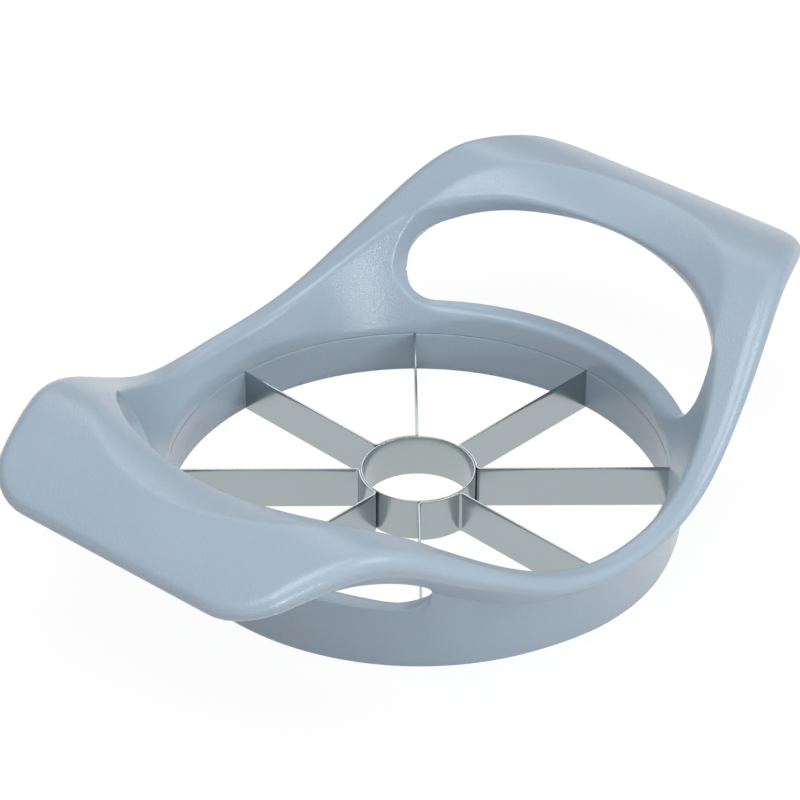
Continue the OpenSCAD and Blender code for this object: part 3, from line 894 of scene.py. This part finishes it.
seam_x = add(ring_tree, "ShaderNodeMath", {"operation": "COSINE"}, {0: given["Seam Angle"]})
seam_y = add(ring_tree, "ShaderNodeMath", {"operation": "SINE"}, {0: given["Seam Angle"]})
seam = add(ring_tree, "ShaderNodeCombineXYZ", None, {0: seam_x.outputs[0], 1: seam_y.outputs[0]})
seam_at = add(ring_tree, "ShaderNodeVectorMath", {"operation": "SCALE"},
              {0: seam.outputs[0], "Scale": radius.outputs[0]})
flat = add(ring_tree, "ShaderNodeVectorMath", {"operation": "MULTIPLY"}, {0: here, 1: (1, 1, 0)})
off = add(ring_tree, "ShaderNodeVectorMath", {"operation": "DISTANCE"},
          {0: flat.outputs[0], 1: seam_at.outputs[0]})
rib = add(ring_tree, "ShaderNodeMapRange", {"interpolation_type": "SMOOTHSTEP"},
          {"Value": off.outputs["Value"], "From Min": WELD_FLAT * MM, "From Max": given["Seam Width"],
           "To Min": given["Seam Rise"], "To Max": 0.0})
from_axis = add(ring_tree, "ShaderNodeVectorMath", {"operation": "LENGTH"}, {0: flat.outputs[0]})
inside = add(ring_tree, "ShaderNodeMath", {"operation": "LESS_THAN"},
             {0: from_axis.outputs["Value"], 1: radius.outputs[0]})
rib = add(ring_tree, "ShaderNodeMath", {"operation": "MULTIPLY"}, {0: rib.outputs[0], 1: inside.outputs[0]})
rib = add(ring_tree, "ShaderNodeMath", {"operation": "MULTIPLY"}, {0: rib.outputs[0], 1: -1.0})
shift = add(ring_tree, "ShaderNodeVectorMath", {"operation": "SCALE"},
            {0: seam.outputs[0], "Scale": rib.outputs[0]})
tube = add(ring_tree, "GeometryNodeSetPosition", None,
           {"Geometry": tube.outputs[0], "Offset": shift.outputs[0]})
tube = add(ring_tree, "GeometryNodeSetMaterial", None,
           {"Geometry": tube.outputs[0], "Material": given["Steel"]})
tube = add(ring_tree, "GeometryNodeRealizeInstances", None, {"Geometry": tube.outputs[0]})
add(ring_tree, "NodeGroupOutput", None, {0: tube.outputs[0]})

# The tube's steel: the same rolled strip, bent across its lines, so that they stand upright.
TUBE_LINES_PER_MM = 3.5
TUBE_BREAKS_PER_MM = 0.09
tube_steel, tree = new_material("drawn_stainless_tube")
place_on = add(tree, "ShaderNodeTexCoord").outputs["Object"]
lines_at = add(tree, "ShaderNodeVectorMath", {"operation": "MULTIPLY"},
               {0: place_on, 1: (TUBE_LINES_PER_MM / MM, TUBE_LINES_PER_MM / MM, TUBE_BREAKS_PER_MM / MM)})
lines = add(tree, "ShaderNodeTexNoise", None, {"Vector": lines_at.outputs[0], "Scale": 1.0, "Detail": 2.0})
bump = add(tree, "ShaderNodeBump", None,
           {"Height": lines.outputs["Fac"], "Strength": 0.3, "Distance": LINE_DEPTH})
rough = add(tree, "ShaderNodeMapRange", None, {"Value": lines.outputs["Fac"], "To Min": 0.12, "To Max": 0.26})
shader = add(tree, "ShaderNodeBsdfPrincipled", None,
             {"Base Color": srgb("#a6afb0"), "Metallic": 1.0, "Roughness": rough.outputs[0],
              "Normal": bump.outputs["Normal"]})
add(tree, "ShaderNodeOutputMaterial", None, {"Surface": shader.outputs["BSDF"]})
core = grown("core_tube", ring_tree, {
    "Height": BLADE_H * MM, "Thickness": STEEL_T * MM, "Outer Radius": CORE_R * MM,
    "Seam Angle": math.radians(WELD_ANGLE), "Seam Width": WELD_FOOT * MM, "Seam Rise": WELD_RISE * MM,
    "Steel": tube_steel})
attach(core, "root")
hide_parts("core_ring")

# ---------------------------------------------------------------------------
# Floor: white paper that the camera and the steel see almost white, while the
# object's own shadow still falls on it.
HALF_FLOOR = 3.0                       # in metres
floor_mesh = bpy.data.meshes.new("floor")
floor_mesh.from_pydata([(HALF_FLOOR * x, HALF_FLOOR * y, 0) for x, y in ((-1, -1), (1, -1), (1, 1), (-1, 1))],
                       [], [(0, 1, 2, 3)])
floor = bpy.data.objects.new("floor", floor_mesh)
scene.collection.objects.link(floor)
white, tree = new_material("white_studio_paper")
plain_paper = add(tree, "ShaderNodeBsdfDiffuse", None, {"Color": srgb("#b8b8b8")})
bright = add(tree, "ShaderNodeEmission", None, {"Color": (1, 1, 1, 1), "Strength": 0.945})
dull = add(tree, "ShaderNodeBsdfDiffuse", None, {"Color": (0.07, 0.07, 0.07, 1)})
seen = add(tree, "ShaderNodeAddShader", None, {0: bright.outputs[0], 1: dull.outputs[0]})
path = add(tree, "ShaderNodeLightPath").outputs
rays = add(tree, "ShaderNodeMath", {"operation": "ADD", "use_clamp": True},
           {0: path["Is Camera Ray"], 1: path["Is Glossy Ray"]})
rays = add(tree, "ShaderNodeMath", {"operation": "ADD", "use_clamp": True},
           {0: rays.outputs[0], 1: path["Is Transmission Ray"]})
surface = add(tree, "ShaderNodeMixShader", None,
              {0: rays.outputs[0], 1: plain_paper.outputs[0], 2: seen.outputs[0]})
add(tree, "ShaderNodeOutputMaterial", None, {"Surface": surface.outputs[0]})
floor_mesh.materials.append(white)
floor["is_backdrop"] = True

# ---------------------------------------------------------------------------
# Light: a wide soft box overhead, one high on the right, a small low one that makes
# the grain glitter, one behind that the steel's cut edges catch, and an even pale
# room. Places, sizes and aims are in metres, and powers in watts.
scene.view_settings.view_transform = "Standard"
world = bpy.data.worlds.new("studio")
world.use_nodes = True
scene.world = world
room = world.node_tree.nodes["Background"].inputs
room["Color"].default_value = (1, 1, 1, 1)
room["Strength"].default_value = 0.29


def lamp(name, place, aim, size, power):
    data = bpy.data.lights.new(name, "AREA")
    data.shape = "RECTANGLE"
    data.size, data.size_y = size
    data.energy = power
    obj = bpy.data.objects.new(name, data)
    obj.location = place
    obj.rotation_euler = (Vector(aim) - Vector(place)).to_track_quat("-Z", "Y").to_euler()
    scene.collection.objects.link(obj)


lamp("soft_box_above", (-0.25, -0.05, 1.0), (0, 0, 0.02), (0.7, 0.7), 5.5)
lamp("soft_box_right", (0.3, -0.8, 0.66), (0, 0, 0.02), (0.5, 0.5), 3.0)
lamp("soft_box_low", (-0.54, -1.0, 0.13), (0, 0, 0.02), (0.12, 0.2), 3.2)
lamp("soft_box_behind", (0.75, 0.66, 0.68), (0, 0, 0.01), (0.4, 0.25), 0.6)

visual_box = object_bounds()


def plain(box):
    return [[float(c) for c in corner] for corner in box]


{"cad": plain(cad_box), "visual": plain(visual_box)}
